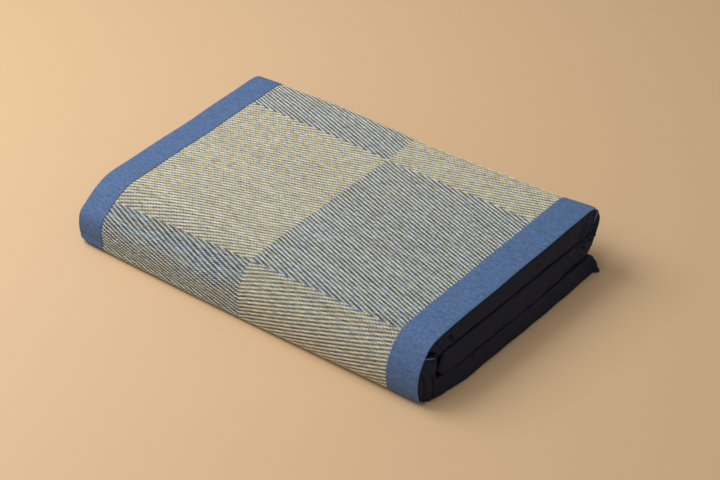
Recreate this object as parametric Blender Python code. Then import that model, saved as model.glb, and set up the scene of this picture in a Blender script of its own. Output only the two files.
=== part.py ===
import math

import bpy
import numpy as np

# Main sizes, metres
MAT_WIDTH = 0.880  # along X, over the two bindings
BINDING_WIDTH = 0.069
BINDING_THICK = 0.0012
RUSH_THICK = 0.0020
FIT_GAP = 0.0003  # clearance left between neighbouring pieces
RIM_WIDTH = 0.0032  # binding that turns down over the edge of the rush
LAYER_TOP = 0.0385  # back of the bottom layer above the floor
MIDDLE_UNDER = 0.0400  # rush side of the middle layer, facing down
MIDDLE_BACK = 0.0785  # back of the middle layer, facing up

# Depths below the visible outer outline
RUSH_OUT = BINDING_THICK + FIT_GAP
RUSH_IN = RUSH_OUT + RUSH_THICK
PAD_OUT = RUSH_IN + FIT_GAP

# Where the shape changes across the width
HALF_WIDTH = MAT_WIDTH / 2
RUSH_HALF = HALF_WIDTH - RIM_WIDTH - FIT_GAP
BINDING_INNER = HALF_WIDTH - BINDING_WIDTH
BINDING_MIDDLE = HALF_WIDTH - 0.030
CROSS_X = (0.0, 0.14, 0.27, BINDING_INNER, BINDING_MIDDLE, RUSH_HALF)

# Soft unevenness, metres
CROWN_DROP = 0.0020  # outer face falls away towards the long edges
SHOULDER_DROP = 0.014  # left end of the front shoulder is flatter
BACK_LEAN = 0.0085  # left half of the back fold lies further back
BACK_RISE = 0.0040  # and stands a little higher
BACK_DIP = 0.0052  # right half is drawn in, short of its binding
FOOT_FORWARD = 0.0080  # left half of the front fold spreads on the floor
TOP_WAVE = 0.0009
WALL_WAVE = 0.0009

# Front fold seen from the right end, from the floor up to the top layer.
# Columns: outer y, outer z, inner y, inner z, wall bulge by the outer and inner edge
FRONT_FOLD = (
    (0.0400, 0.0000, 0.0560, 0.0385, 0.0125, 0.0145),
    (0.0240, 0.0000, 0.0495, 0.0388, 0.0078, 0.0145),
    (0.0105, 0.0003, 0.0450, 0.0400, 0.0038, 0.0145),
    (0.0025, 0.0024, 0.0425, 0.0415, 0.0022, 0.0148),
    (-0.0016, 0.0085, 0.0411, 0.0440, 0.0014, 0.0150),
    (-0.0030, 0.0175, 0.0404, 0.0490, 0.0012, 0.0155),
    (-0.0036, 0.0290, 0.0401, 0.0545, 0.0012, 0.0158),
    (-0.0022, 0.0430, 0.0400, 0.0600, 0.0012, 0.0155),
    (0.0012, 0.0560, 0.0400, 0.0650, 0.0012, 0.0150),
    (0.0060, 0.0675, 0.0402, 0.0692, 0.0010, 0.0140),
    (0.0125, 0.0780, 0.0407, 0.0730, 0.0006, 0.0130),
    (0.0200, 0.0872, 0.0416, 0.0758, 0.0004, 0.0120),
    (0.0275, 0.0952, 0.0431, 0.0778, 0.0004, 0.0115),
    (0.0375, 0.1030, 0.0460, 0.0792, 0.0010, 0.0115),
    (0.0510, 0.1090, 0.0515, 0.0802, 0.0020, 0.0115),
    (0.0690, 0.1122, 0.0635, 0.0806, 0.0028, 0.0115),
    (0.0950, 0.1140, 0.0860, 0.0808, 0.0030, 0.0115),
)

# Back fold, from the top layer down to the middle layer, same columns
BACK_FOLD = (
    (0.4800, 0.1258, 0.4760, 0.0808, 0.0030, 0.0100),
    (0.5040, 0.1262, 0.4880, 0.0807, 0.0028, 0.0100),
    (0.5175, 0.1238, 0.4925, 0.0804, 0.0022, 0.0100),
    (0.5262, 0.1180, 0.4945, 0.0801, 0.0012, 0.0100),
    (0.5318, 0.1088, 0.4952, 0.0799, 0.0006, 0.0100),
    (0.5342, 0.0982, 0.4954, 0.0797, 0.0035, 0.0100),
    (0.5320, 0.0875, 0.4953, 0.0795, 0.0060, 0.0100),
    (0.5258, 0.0768, 0.4950, 0.0793, 0.0075, 0.0100),
    (0.5175, 0.0665, 0.4945, 0.0791, 0.0085, 0.0100),
    (0.5085, 0.0570, 0.4930, 0.0789, 0.0095, 0.0100),
    (0.4985, 0.0488, 0.4900, 0.0787, 0.0105, 0.0100),
    (0.4870, 0.0430, 0.4840, 0.0785, 0.0115, 0.0102),
    (0.4700, 0.0402, 0.4690, 0.0785, 0.0120, 0.0104),
)

# Rounded free ends of the pad: distance out, share of thickness, edge drawn in,
# share of the pulled-out corner at the back of the bottom layer
BOTTOM_ROUNDING = (
    (0.0050, 0.95, 0.0015, 1.00),
    (0.0090, 0.78, 0.0045, 0.85),
    (0.0112, 0.46, 0.0085, 0.25),
)
MIDDLE_ROUNDING = (
    (0.0030, 0.96, 0.0010, 0.00),
    (0.0060, 0.84, 0.0030, 0.00),
    (0.0078, 0.56, 0.0060, 0.00),
)
EAR_START = 0.45  # share of the corner already there where the layer ends
EAR_REACH = (0.0085, 0.0100, 0.0085, 0.0045, 0.0020, 0.0)  # per side wall row

# Side wall from the outer to the inner edge. Columns: share of the way,
# share of bulge, drop on the floor, sag of the middle layer over the bottom one
WALL_ROUNDING = (
    (0.03, 0.50, 0.0008, 0.0000),
    (0.13, 0.93, 0.0072, 0.0062),
    (0.34, 1.00, 0.0050, 0.0030),
    (0.66, 1.00, 0.0010, 0.0000),
    (0.88, 0.97, 0.0000, 0.0000),
    (0.97, 0.80, 0.0000, 0.0000),
)

# Straight runs: bottom layer, top layer and middle layer
BOTTOM_END_Y = 0.4895
BOTTOM_END_DROP = 0.0012  # the bottom layer thins a little towards its free end
BOTTOM_END_LOSS = 0.0025  # bulge lost towards the back, bottom layer
MIDDLE_END_LOSS = 0.0080  # and middle layer
MIDDLE_END_Y = 0.0560
END_SLANT = 0.0060  # the inner edge of a free end lies this far from the outer one
MIDDLE_SLANT = 0.0040
BOTTOM_STEPS = 12
TOP_STEPS = 10
MIDDLE_STEPS = 11

# Placing: the fold frame starts at the front wall, the record frame is centred
WIDTH_MIDDLE = 0.0021
DEPTH_MIDDLE = 0.2670

# Cloth colours, linear
PAD_COLOUR = (0.016, 0.016, 0.019, 1.0)
RUSH_COLOUR = (0.36, 0.34, 0.22, 1.0)
BINDING_COLOUR = (0.085, 0.170, 0.350, 1.0)


def bell(value, middle, spread):
    return math.exp(-(((value - middle) / spread) ** 2))


def ramp(value, low, high):
    share = min(max((value - low) / (high - low), 0.0), 1.0)
    return share * share * (3.0 - 2.0 * share)


def between(first, last, steps):
    """Rows strictly between two rows, evenly spaced."""
    shares = np.linspace(0.0, 1.0, steps + 1)[1:-1]
    first, last = np.array(first), np.array(last)
    return [tuple(first + (last - first) * share) for share in shares]


def floor_bulge(y):
    """The bottom wall swells most under the middle of the stack."""
    return 0.0120 + 0.0105 * ramp(y, 0.03, 0.11) - 0.0035 * ramp(y, 0.40, 0.49)


def groove_bulge(y, end_loss):
    """Walls of the bottom and middle layers, at the groove between them."""
    return 0.0145 + 0.0055 * ramp(y, 0.05, 0.09) - end_loss * ramp(y, 0.33, 0.46)


def fold_rows():
    """Stations along the mat, from the free end of the bottom layer."""
    start = (BOTTOM_END_Y, 0.0, BOTTOM_END_Y - END_SLANT, LAYER_TOP, 0.0, 0.0)
    rows = []
    for oy, oz, iy, iz, *bulges in [start] + between(start, FRONT_FOLD[0], BOTTOM_STEPS):
        iz -= BOTTOM_END_DROP * ramp(iy, 0.40, 0.47)
        rows.append((oy, oz, iy, iz, floor_bulge(oy), groove_bulge(oy, BOTTOM_END_LOSS)))
    rows += list(FRONT_FOLD)
    rows += between(FRONT_FOLD[-1], BACK_FOLD[0], TOP_STEPS)
    rows += list(BACK_FOLD)
    last = BACK_FOLD[-1]
    finish = (MIDDLE_END_Y, MIDDLE_UNDER, MIDDLE_END_Y + MIDDLE_SLANT, MIDDLE_BACK, 0.0, 0.0115)
    for oy, oz, iy, iz, _, inner in between(last, finish, MIDDLE_STEPS) + [finish]:
        rows.append((oy, oz, iy, iz, groove_bulge(oy, MIDDLE_END_LOSS), inner))
    return rows


ROWS = fold_rows()
FIRST_FREE = BOTTOM_STEPS  # stations before this one lie flat on the floor
LAST_FREE = BOTTOM_STEPS + len(FRONT_FOLD) + TOP_STEPS - 1 + len(BACK_FOLD) - 2
STEP_LENGTHS = [math.dist(a[:2], b[:2]) for a, b in zip(ROWS, ROWS[1:])]
PATH = [0.0] + list(np.cumsum(STEP_LENGTHS))  # distance along the outer outline


def left_half(x):
    return ramp(-x, -0.06, 0.26)


def back_shift(x):
    """How far the back fold lies behind or before its straight line."""
    drawn_in = ramp(x, -0.06, 0.08) * (1.0 - ramp(x, 0.36, 0.43))
    return BACK_LEAN * left_half(x) - BACK_DIP * drawn_in


def shifted(station, x, y, z):
    """Adds the unevenness across the width to one point of the section."""
    if FIRST_FREE <= station <= LAST_FREE:
        left = ramp(-x, -0.10, HALF_WIDTH)
        z -= SHOULDER_DROP * left * bell(y, 0.036, 0.040) * ramp(z, 0.055, 0.100)
    if station > FIRST_FREE + len(FRONT_FOLD) // 2:
        z += BACK_RISE * left_half(x) * ramp(y, 0.30, 0.50) * ramp(z, 0.09, 0.12)
        y += back_shift(x) * ramp(y, 0.38, 0.52)
    foot = (1.0 - ramp(y, 0.010, 0.045)) * (1.0 - ramp(z, 0.004, 0.024))
    y -= FOOT_FORWARD * foot * ramp(-x, -0.22, 0.28) * (1.0 - 0.6 * ramp(-x, 0.39, HALF_WIDTH))
    return y, z


def outline(station, x):
    """Point of the outer outline at one station and one place across."""
    outer_y, outer_z = ROWS[station][:2]
    y, z = shifted(station, x, outer_y, outer_z)
    if FIRST_FREE + len(FRONT_FOLD) <= station <= LAST_FREE - len(BACK_FOLD) + 2:
        z += TOP_WAVE * math.sin(11.0 * x + 19.0 * y) * math.cos(7.0 * x - 23.0 * y)
    return y, z


def outer_point(station, x, depth):
    """Point below the outer outline, measured square to it."""
    before = outline(max(station - 1, 0), x)
    after = outline(min(station + 1, len(ROWS) - 1), x)
    y, z = outline(station, x)
    along_y, along_z = after[0] - before[0], after[1] - before[1]
    length = math.hypot(along_y, along_z)
    rise = ramp(station, FIRST_FREE, FIRST_FREE + 5)
    rise *= 1.0 - ramp(station, LAST_FREE - 4, LAST_FREE + 1)
    depth += CROWN_DROP * rise * (abs(x) / HALF_WIDTH) ** 6
    return (x, y + depth * along_z / length, z - depth * along_y / length)


def inner_point(station, x):
    inner_y, inner_z = ROWS[station][2:4]
    if station > FIRST_FREE + len(FRONT_FOLD) // 2:
        inner_y += back_shift(x) * ramp(inner_y, 0.38, 0.50)
    return (x, inner_y, inner_z)


def wall_point(side, station, share, puff, drop, sag):
    """Point of a puffed side wall between the outer and inner edges."""
    outer = outer_point(station, side * RUSH_HALF, PAD_OUT)
    inner = inner_point(station, side * RUSH_HALF)
    outer_bulge, inner_bulge = ROWS[station][4:]
    bulge = outer_bulge + (inner_bulge - outer_bulge) * share
    path = PATH[station]
    swell = math.sin(57.0 * path + 1.7 * side) * math.sin(31.0 * path + 4.0 * share)
    bulge += WALL_WAVE * swell * min(bulge / 0.008, 1.0)
    x = side * (RUSH_HALF + max(bulge, 0.0004) * puff)
    y = outer[1] + (inner[1] - outer[1]) * share
    z = outer[2] + (inner[2] - outer[2]) * share
    z -= drop * (1.0 - ramp(path, PATH[FIRST_FREE] + 0.012, PATH[FIRST_FREE] + 0.036))
    z -= sag * ramp(path, PATH[LAST_FREE] - 0.02, PATH[LAST_FREE] + 0.04)
    return (x, y, z)


def across(limit):
    """Places across the width, left to right, up to the given half width."""
    right = [x for x in CROSS_X if x <= limit + 1e-9]
    return [-x for x in reversed(right[1:])] + right


def pad_ring(station):
    """Section of the pad: outer face, right wall, inner face, left wall."""
    places = across(RUSH_HALF)
    outer = [outer_point(station, x, PAD_OUT) for x in places]
    inner = [inner_point(station, x) for x in places]
    right = [wall_point(1, station, *row) for row in WALL_ROUNDING]
    left = [wall_point(-1, station, *row) for row in WALL_ROUNDING]
    return outer + right + inner[::-1] + left[::-1]


def with_ear(ring, share):
    """Pulls the right wall of a section out into the corner of the cloth."""
    first = len(across(RUSH_HALF))
    copy = [list(point) for point in ring]
    for i, reach in enumerate(EAR_REACH):
        copy[first + i][0] += reach * share
    return [tuple(point) for point in copy]


def end_rings(ring, towards, rounding, ear):
    """Smaller sections that round off a free end of the pad."""
    ring = np.array(ring)
    middle = (ring[:, 2].max() + ring[:, 2].min()) / 2
    widest = np.abs(ring[:, 0]).max()
    found = []
    for distance, thickness, drawn_in, ear_share in rounding:
        copy = ring.copy()
        copy[:, 1] += towards * distance
        copy[:, 2] = middle + (ring[:, 2] - middle) * thickness
        copy[:, 0] *= 1.0 - drawn_in / widest
        found.append(with_ear(copy, ear * ear_share))
    return found


def cap_faces(first, count, walls, at_start):
    """Closes an end section in strips between its outer and inner faces."""
    total = 2 * count + 2 * walls
    faces = []
    for i in range(count - 1):
        mirror = count + walls + (count - 1 - i)
        faces.append((i, i + 1, mirror - 1, mirror))
    right = list(range(count - 1, count + walls + 1))
    left = list(range(total - walls - 1, total)) + [0]
    for side in (right, left):
        low, high = 0, len(side) - 1
        while high - low > 2:
            faces.append((side[low], side[low + 1], side[high - 1], side[high]))
            low, high = low + 1, high - 1
        if high - low == 2:
            faces.append((side[low], side[low + 1], side[high]))
    if at_start:
        faces = [face[::-1] for face in faces]
    return [tuple(first + i for i in face) for face in faces]


def skin_faces(rings, size, under):
    """Triangles between neighbouring sections. Every face and the one it lies
    on are cut along the same diagonal, so that the clearance holds."""
    faces = []
    for row in range(rings - 1):
        for i in range(size):
            after = (i + 1) % size
            a, b = row * size + i, row * size + after
            c, d = b + size, a + size
            faces += [(a, b, d), (b, c, d)] if i in under else [(a, b, c), (a, c, d)]
    return faces


def material(name, colour, roughness):
    made = bpy.data.materials.new(name)
    made.use_nodes = True
    shader = made.node_tree.nodes["Principled BSDF"]
    shader.inputs["Base Color"].default_value = colour
    shader.inputs["Roughness"].default_value = roughness
    return made


def add_piece(name, points, faces, colour, roughness):
    mesh = bpy.data.meshes.new(name)
    placed = [(x - WIDTH_MIDDLE, y - DEPTH_MIDDLE, z) for x, y, z in points]
    mesh.from_pydata(placed, [], faces)
    mesh.update()
    mesh.materials.append(material(name, colour, roughness))
    piece = bpy.data.objects.new(name, mesh)
    bpy.context.scene.collection.objects.link(piece)
    return piece


def swept(rings, under, cap_start, cap_end):
    """Points and faces of a closed body from its sections and two caps."""
    size = len(rings[0])
    points = [point for ring in rings for point in ring]
    last = (len(rings) - 1) * size
    skin = skin_faces(len(rings), size, under)
    return points, skin + cap_start(0) + cap_end(last)


def make_pad():
    rings = [pad_ring(station) for station in range(len(ROWS))]
    first = end_rings(rings[0], 1.0, BOTTOM_ROUNDING, 1.0)
    last = end_rings(rings[-1], -1.0, MIDDLE_ROUNDING, 0.0)
    rings[0] = with_ear(rings[0], EAR_START)
    rings = first[::-1] + rings + last
    count, walls = len(across(RUSH_HALF)), len(WALL_ROUNDING)
    points, faces = swept(
        rings,
        (),
        lambda first: cap_faces(first, count, walls, True),
        lambda first: cap_faces(first, count, walls, False),
    )
    add_piece("pad", points, faces, PAD_COLOUR, 0.9)


def sheet_ring(station, places, top, under):
    outer = [outer_point(station, x, top) for x in places]
    inner = [outer_point(station, x, under) for x in reversed(places)]
    return outer + inner


def strip_cap(count, at_start):
    """Cap of a sheet's end, in quads between its two faces."""

    def faces(first):
        quads = [(i, i + 1, 2 * count - 2 - i, 2 * count - 1 - i) for i in range(count - 1)]
        if at_start:
            quads = [quad[::-1] for quad in quads]
        return [tuple(first + i for i in quad) for quad in quads]

    return faces


def make_rush_face():
    places = across(RUSH_HALF)
    rings = [sheet_ring(k, places, RUSH_OUT, RUSH_IN) for k in range(len(ROWS))]
    count = len(places)
    caps = strip_cap(count, True), strip_cap(count, False)
    points, faces = swept(rings, range(count, 2 * count - 1), *caps)
    add_piece("rush_face", points, faces, RUSH_COLOUR, 0.8)


def binding_ring(station, side):
    """L section: strip over the rush, and a rim down over the rush's edge."""
    strip = [BINDING_INNER, BINDING_MIDDLE, RUSH_HALF, HALF_WIDTH]
    rim = HALF_WIDTH - RIM_WIDTH
    section = [(x, 0.0) for x in strip]
    section += [(HALF_WIDTH, RUSH_IN), (rim, RUSH_IN), (rim, BINDING_THICK)]
    section += [(BINDING_MIDDLE, BINDING_THICK), (BINDING_INNER, BINDING_THICK)]
    ring = [outer_point(station, side * x, depth) for x, depth in section]
    return ring if side > 0 else ring[::-1]


def binding_cap(side, at_start):
    def faces(first):
        quads = [(0, 1, 7, 8), (1, 2, 6, 7), (2, 3, 4, 6), (4, 5, 6)]
        if side < 0:
            quads = [tuple(8 - i for i in quad)[::-1] for quad in quads]
        if at_start:
            quads = [quad[::-1] for quad in quads]
        return [tuple(first + i for i in quad) for quad in quads]

    return faces


def make_binding(name, side):
    rings = [binding_ring(station, side) for station in range(len(ROWS))]
    under = (6, 7) if side > 0 else (0, 1)
    caps = binding_cap(side, True), binding_cap(side, False)
    points, faces = swept(rings, under, *caps)
    add_piece(name, points, faces, BINDING_COLOUR, 0.85)


def main():
    for old in list(bpy.data.objects):
        bpy.data.objects.remove(old)
    make_pad()
    make_rush_face()
    make_binding("binding_left", -1)
    make_binding("binding_right", 1)


main()
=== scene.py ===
import math

import bpy
import numpy as np
from mathutils import Matrix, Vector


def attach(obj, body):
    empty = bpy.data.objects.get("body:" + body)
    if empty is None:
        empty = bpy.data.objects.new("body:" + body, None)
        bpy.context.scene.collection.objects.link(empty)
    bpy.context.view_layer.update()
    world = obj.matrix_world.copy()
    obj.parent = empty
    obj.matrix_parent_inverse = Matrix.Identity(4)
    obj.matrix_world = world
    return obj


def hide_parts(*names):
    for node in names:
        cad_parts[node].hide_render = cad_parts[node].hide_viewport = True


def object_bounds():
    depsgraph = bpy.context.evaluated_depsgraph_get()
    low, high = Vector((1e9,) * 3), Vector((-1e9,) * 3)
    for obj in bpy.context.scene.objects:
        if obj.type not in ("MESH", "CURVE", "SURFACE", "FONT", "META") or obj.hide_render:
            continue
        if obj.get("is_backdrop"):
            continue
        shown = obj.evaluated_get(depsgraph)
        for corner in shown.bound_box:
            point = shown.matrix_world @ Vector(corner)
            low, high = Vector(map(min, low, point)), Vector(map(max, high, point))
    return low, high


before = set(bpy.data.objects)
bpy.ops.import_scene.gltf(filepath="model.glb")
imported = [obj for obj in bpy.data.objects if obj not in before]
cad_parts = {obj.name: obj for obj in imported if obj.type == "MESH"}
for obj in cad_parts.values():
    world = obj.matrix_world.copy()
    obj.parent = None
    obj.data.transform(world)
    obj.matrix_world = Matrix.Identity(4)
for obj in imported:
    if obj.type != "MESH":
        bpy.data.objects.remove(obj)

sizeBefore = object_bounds()
rng = np.random.default_rng(7)


def ramp(value, low, high):
    share = np.clip((value - low) / (high - low), 0.0, 1.0)
    return share * share * (3.0 - 2.0 * share)


def bell(value, middle, spread):
    return np.exp(-(((value - middle) / spread) ** 2))


# the folded mat's side outline, in metres
# x: across the mat from its middle, y: back from the front wall, z: up, s: along the cloth
# Gain, Loss, Depth and Height pairs: where something starts, and where it is full
# Across pairs: the same, growing to the left; Right pairs grow to the right
fold = {
    "matWidth": 0.880,
    "bindingWidth": 0.069,
    "bindingThick": 0.0012,
    "rushThick": 0.0020,
    "gap": 0.0003,
    "rimWidth": 0.0032,
    "place": (0.0021, 0.2670, 0.0),  # fold frame to record frame
    "pathPoints": 8000,
    "slopeStep": 0.0015,  # half the length over which the cloth's slope is taken
    "straightSteps": (24, 16, 18),  # stations along the bottom, top and middle layers
    "layerTop": 0.0385,
    "bottomEndY": 0.4895,
    "bottomEndLean": 0.006,  # upper edge of the bottom layer's end lies further in
    "bottomEndSink": 0.0012,  # and lower
    "sinkDepth": (0.40, 0.47),
    "middleEndY": 0.0560,
    "middleEndLean": 0.0150,
    "middleHeights": (0.0400, 0.0785),
    "middleEndBulge": 0.0115,
    "floorWall": (0.0120, 0.0105, 0.0035),  # wall's bulge at the floor: front, gained, lost
    "floorGain": (0.03, 0.11),
    "floorLoss": (0.40, 0.49),
    "grooveWall": (0.0145, 0.0055),  # the same where the bottom and middle layers meet
    "grooveGain": (0.05, 0.09),
    "grooveLoss": (0.33, 0.46),
    "grooveLosses": (0.0025, 0.0080),  # lost on the bottom layer and on the middle layer
    "crownDrop": 0.0020,  # long edges lie lower than the middle
    "crownPower": 6,
    "crownStart": 0.055,  # past the front fold's foot
    "crownEnd": 0.02,  # past the back fold's crest
    "shoulderDrop": 0.014,  # left end of the front shoulder is flatter
    "shoulderFrom": -0.10,
    "shoulderAt": (0.036, 0.040),  # y and reach
    "shoulderHeight": (0.055, 0.100),
    "backLean": 0.0085,  # left half of the back fold lies further back
    "backRise": 0.0040,  # and higher
    "leanAcross": (-0.06, 0.26),
    "leanDepth": (0.38, 0.52),
    "innerLeanDepth": (0.38, 0.50),
    "riseDepth": (0.30, 0.50),
    "riseHeight": (0.09, 0.12),
    "backDip": 0.0052,  # right half of the back fold is drawn in, apart from its end
    "dipRight": (-0.06, 0.08),
    "dipEndRight": (0.36, 0.43),
    "cornerLift": 0.0022,  # right end of the back fold's crest stands up to a point
    "cornerRight": (0.36, 0.435),
    "cornerAt": (0.007, 0.0050),  # past the tip, and reach
    "cornerBack": 0.4,
    "footForward": 0.0063,  # left half of the front fold spreads on the floor
    "footAcross": (-0.42, 0.10),
    "footDepth": (0.010, 0.045),
    "footHeight": (0.004, 0.024),
    "footCorner": 0.425,  # from here outwards it spreads less, by footLoss
    "footLoss": 0.6,
    "topWave": 0.0009,
    "waveTurns": (11, 19, 7, 23),
    "waveStart": 0.03,  # before and past the top's front end
    "waveEnd": (0.02, 0.04),  # before and past its back end
}

# outer y, outer z, inner y, inner z, wall bulge at the outer and inner edge; right end
frontFold = (
    (0.0400, 0.0000, 0.0560, 0.0385, 0.0125, 0.0145),
    (0.0240, 0.0000, 0.0480, 0.0388, 0.0078, 0.0145),
    (0.0122, 0.0008, 0.0430, 0.0400, 0.0038, 0.0145),
    (0.0043, 0.0036, 0.0402, 0.0415, 0.0022, 0.0148),
    (-0.0006, 0.0095, 0.0390, 0.0440, 0.0014, 0.0150),
    (-0.0027, 0.0183, 0.0388, 0.0490, 0.0012, 0.0155),
    (-0.0036, 0.0290, 0.0394, 0.0545, 0.0012, 0.0158),
    (-0.0022, 0.0430, 0.0408, 0.0600, 0.0012, 0.0155),
    (0.0012, 0.0560, 0.0428, 0.0650, 0.0012, 0.0150),
    (0.0060, 0.0675, 0.0450, 0.0692, 0.0010, 0.0140),
    (0.0125, 0.0780, 0.0472, 0.0730, 0.0006, 0.0130),
    (0.0200, 0.0872, 0.0494, 0.0758, 0.0004, 0.0120),
    (0.0275, 0.0952, 0.0516, 0.0778, 0.0004, 0.0115),
    (0.0375, 0.1030, 0.0545, 0.0792, 0.0010, 0.0115),
    (0.0510, 0.1090, 0.0595, 0.0802, 0.0020, 0.0115),
    (0.0690, 0.1122, 0.0675, 0.0806, 0.0028, 0.0115),
    (0.0950, 0.1140, 0.0860, 0.0808, 0.0030, 0.0115),
)
backFold = (
    (0.4800, 0.1258, 0.4760, 0.0808, 0.0030, 0.0100),
    (0.5040, 0.1262, 0.4880, 0.0807, 0.0028, 0.0100),
    (0.5175, 0.1238, 0.4925, 0.0804, 0.0022, 0.0100),
    (0.5262, 0.1180, 0.4945, 0.0801, 0.0012, 0.0100),
    (0.5318, 0.1088, 0.4952, 0.0799, 0.0006, 0.0100),
    (0.5342, 0.0982, 0.4954, 0.0797, 0.0035, 0.0100),
    (0.5320, 0.0875, 0.4953, 0.0795, 0.0060, 0.0100),
    (0.5258, 0.0768, 0.4950, 0.0793, 0.0075, 0.0100),
    (0.5175, 0.0665, 0.4945, 0.0791, 0.0085, 0.0100),
    (0.5085, 0.0570, 0.4930, 0.0789, 0.0095, 0.0100),
    (0.4985, 0.0488, 0.4900, 0.0787, 0.0105, 0.0100),
    (0.4870, 0.0430, 0.4840, 0.0785, 0.0115, 0.0102),
    (0.4700, 0.0402, 0.4690, 0.0785, 0.0120, 0.0104),
)
halfWidth = fold["matWidth"] / 2
rushHalf = halfWidth - fold["rimWidth"] - fold["gap"]
bindingInner = halfWidth - fold["bindingWidth"]
rushOut = fold["bindingThick"] + fold["gap"]
rushIn = rushOut + fold["rushThick"]
padOut = rushIn + fold["gap"]


def floorBulge(y):
    start, gain, loss = fold["floorWall"]
    return start + gain * ramp(y, *fold["floorGain"]) - loss * ramp(y, *fold["floorLoss"])


def grooveBulge(y, loss):
    start, gain = fold["grooveWall"]
    return start + gain * ramp(y, *fold["grooveGain"]) - loss * ramp(y, *fold["grooveLoss"])


def straight(first, last, count):
    shares = np.linspace(0.0, 1.0, count + 2)[1:-1, None]
    return np.array(first) * (1.0 - shares) + np.array(last) * shares


def foldStations():
    bottomSteps, topSteps, middleSteps = fold["straightSteps"]
    startY, startLean = fold["bottomEndY"], fold["bottomEndLean"]
    start = np.array([[startY, 0.0, startY - startLean, fold["layerTop"], 0.0, 0.0]])
    bottom = np.vstack([start, straight(start[0], frontFold[0], bottomSteps)])
    bottom[:, 3] -= fold["bottomEndSink"] * ramp(bottom[:, 2], *fold["sinkDepth"])
    bottom[:, 4] = floorBulge(bottom[:, 0])
    bottom[:, 5] = grooveBulge(bottom[:, 0], fold["grooveLosses"][0])
    endY, endLean = fold["middleEndY"], fold["middleEndLean"]
    low, high = fold["middleHeights"]
    end = np.array([[endY, low, endY + endLean, high, 0.0, fold["middleEndBulge"]]])
    middle = np.vstack([straight(backFold[-1], end[0], middleSteps), end])
    middle[:, 4] = grooveBulge(middle[:, 0], fold["grooveLosses"][1])
    top = straight(frontFold[-1], backFold[0], topSteps)
    return np.vstack([bottom, frontFold, top, backFold, middle])


def smoothed(rows, count):
    # cubic through all the rows, spaced by distance along the outer outline
    step = np.hypot(*np.diff(rows[:, :2], axis=0).T)
    at = np.concatenate([[0.0], np.cumsum(step)])
    slope = np.diff(rows, axis=0) / step[:, None]
    tangent = np.vstack([slope[:1], slope, slope[-1:]])
    before = np.concatenate([step[:1], step])[:, None]
    after = np.concatenate([step, step[-1:]])[:, None]
    tangent = (tangent[1:] * before + tangent[:-1] * after) / (before + after)
    where = np.linspace(0.0, at[-1], count)
    k = np.clip(np.searchsorted(at, where, side="right") - 1, 0, len(step) - 1)
    t = ((where - at[k]) / step[k])[:, None]
    h = step[k][:, None]
    low, high = rows[k], rows[k + 1]
    dense = low * (1 + 2 * t) * (1 - t) ** 2 + high * t * t * (3 - 2 * t)
    dense += h * (tangent[k] * t * (1 - t) ** 2 - tangent[k + 1] * t * t * (1 - t))
    dense[:, 1] = np.maximum(dense[:, 1], 0.0)
    length = np.concatenate([[0.0], np.cumsum(np.hypot(*np.diff(dense[:, :2], axis=0).T))])
    return length, dense


pathAt, pathRows = smoothed(foldStations(), fold["pathPoints"])
pathLength = pathAt[-1]


def pathWhere(y, z):
    return pathAt[np.argmin((pathRows[:, 0] - y) ** 2 + (pathRows[:, 1] - z) ** 2)]


# places along the cloth, at rows of the two fold tables
sFront, sWall, sTop = (pathWhere(*frontFold[row][:2]) for row in (0, 7, -1))
sBack, sTip, sCrest, sMiddle = (pathWhere(*backFold[row][:2]) for row in (0, 3, 5, -1))


def backShift(x):
    drawnIn = ramp(x, *fold["dipRight"]) * (1.0 - ramp(x, *fold["dipEndRight"]))
    return fold["backLean"] * ramp(-x, *fold["leanAcross"]) - fold["backDip"] * drawnIn


def outline(s, x):
    # y and z of the cloth's outer face
    y = np.interp(s, pathAt, pathRows[:, 0])
    z = np.interp(s, pathAt, pathRows[:, 1])
    shoulder = ramp(-x, fold["shoulderFrom"], halfWidth) * bell(y, *fold["shoulderAt"])
    z = z - fold["shoulderDrop"] * shoulder * ramp(z, *fold["shoulderHeight"])
    rise = ramp(-x, *fold["leanAcross"]) * ramp(y, *fold["riseDepth"])
    z = z + fold["backRise"] * rise * ramp(z, *fold["riseHeight"])
    y = y + backShift(x) * ramp(y, *fold["leanDepth"]) * ramp(s, sWall, sTop)
    past, reach = fold["cornerAt"]
    corner = fold["cornerLift"] * ramp(x, *fold["cornerRight"]) * bell(s, sTip + past, reach)
    y, z = y + fold["cornerBack"] * corner, z + corner
    foot = (1.0 - ramp(y, *fold["footDepth"])) * (1.0 - ramp(z, *fold["footHeight"]))
    foot = foot * ramp(-x, *fold["footAcross"])
    foot = foot * (1.0 - fold["footLoss"] * ramp(-x, fold["footCorner"], halfWidth))
    y = y - fold["footForward"] * foot
    before, past = fold["waveEnd"]
    wave = ramp(s, sTop - fold["waveStart"], sTop + fold["waveStart"])
    wave = wave * (1.0 - ramp(s, sBack - before, sBack + past))
    a, b, c, d = fold["waveTurns"]
    z = z + fold["topWave"] * wave * np.sin(a * x + b * y) * np.cos(c * x - d * y)
    return y, z


def skin(s, x, depth):
    # points below the outline, measured square to it, in the record frame
    s, x, depth = np.broadcast_arrays(
        np.asarray(s, float), np.asarray(x, float), np.asarray(depth, float)
    )
    y0, z0 = outline(s - fold["slopeStep"], x)
    y1, z1 = outline(s + fold["slopeStep"], x)
    y, z = outline(s, x)
    alongY, alongZ = y1 - y0, z1 - z0
    length = np.hypot(alongY, alongZ) + 1e-12  # never zero
    rise = ramp(s, sFront, sFront + fold["crownStart"])
    rise = rise * (1.0 - ramp(s, sCrest + fold["crownEnd"], sMiddle))
    crown = rise * (np.abs(x) / halfWidth) ** fold["crownPower"]
    depth = depth + fold["crownDrop"] * crown
    points = np.stack([x, y + depth * alongZ / length, z - depth * alongY / length], -1)
    return points - np.array(fold["place"])


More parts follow.
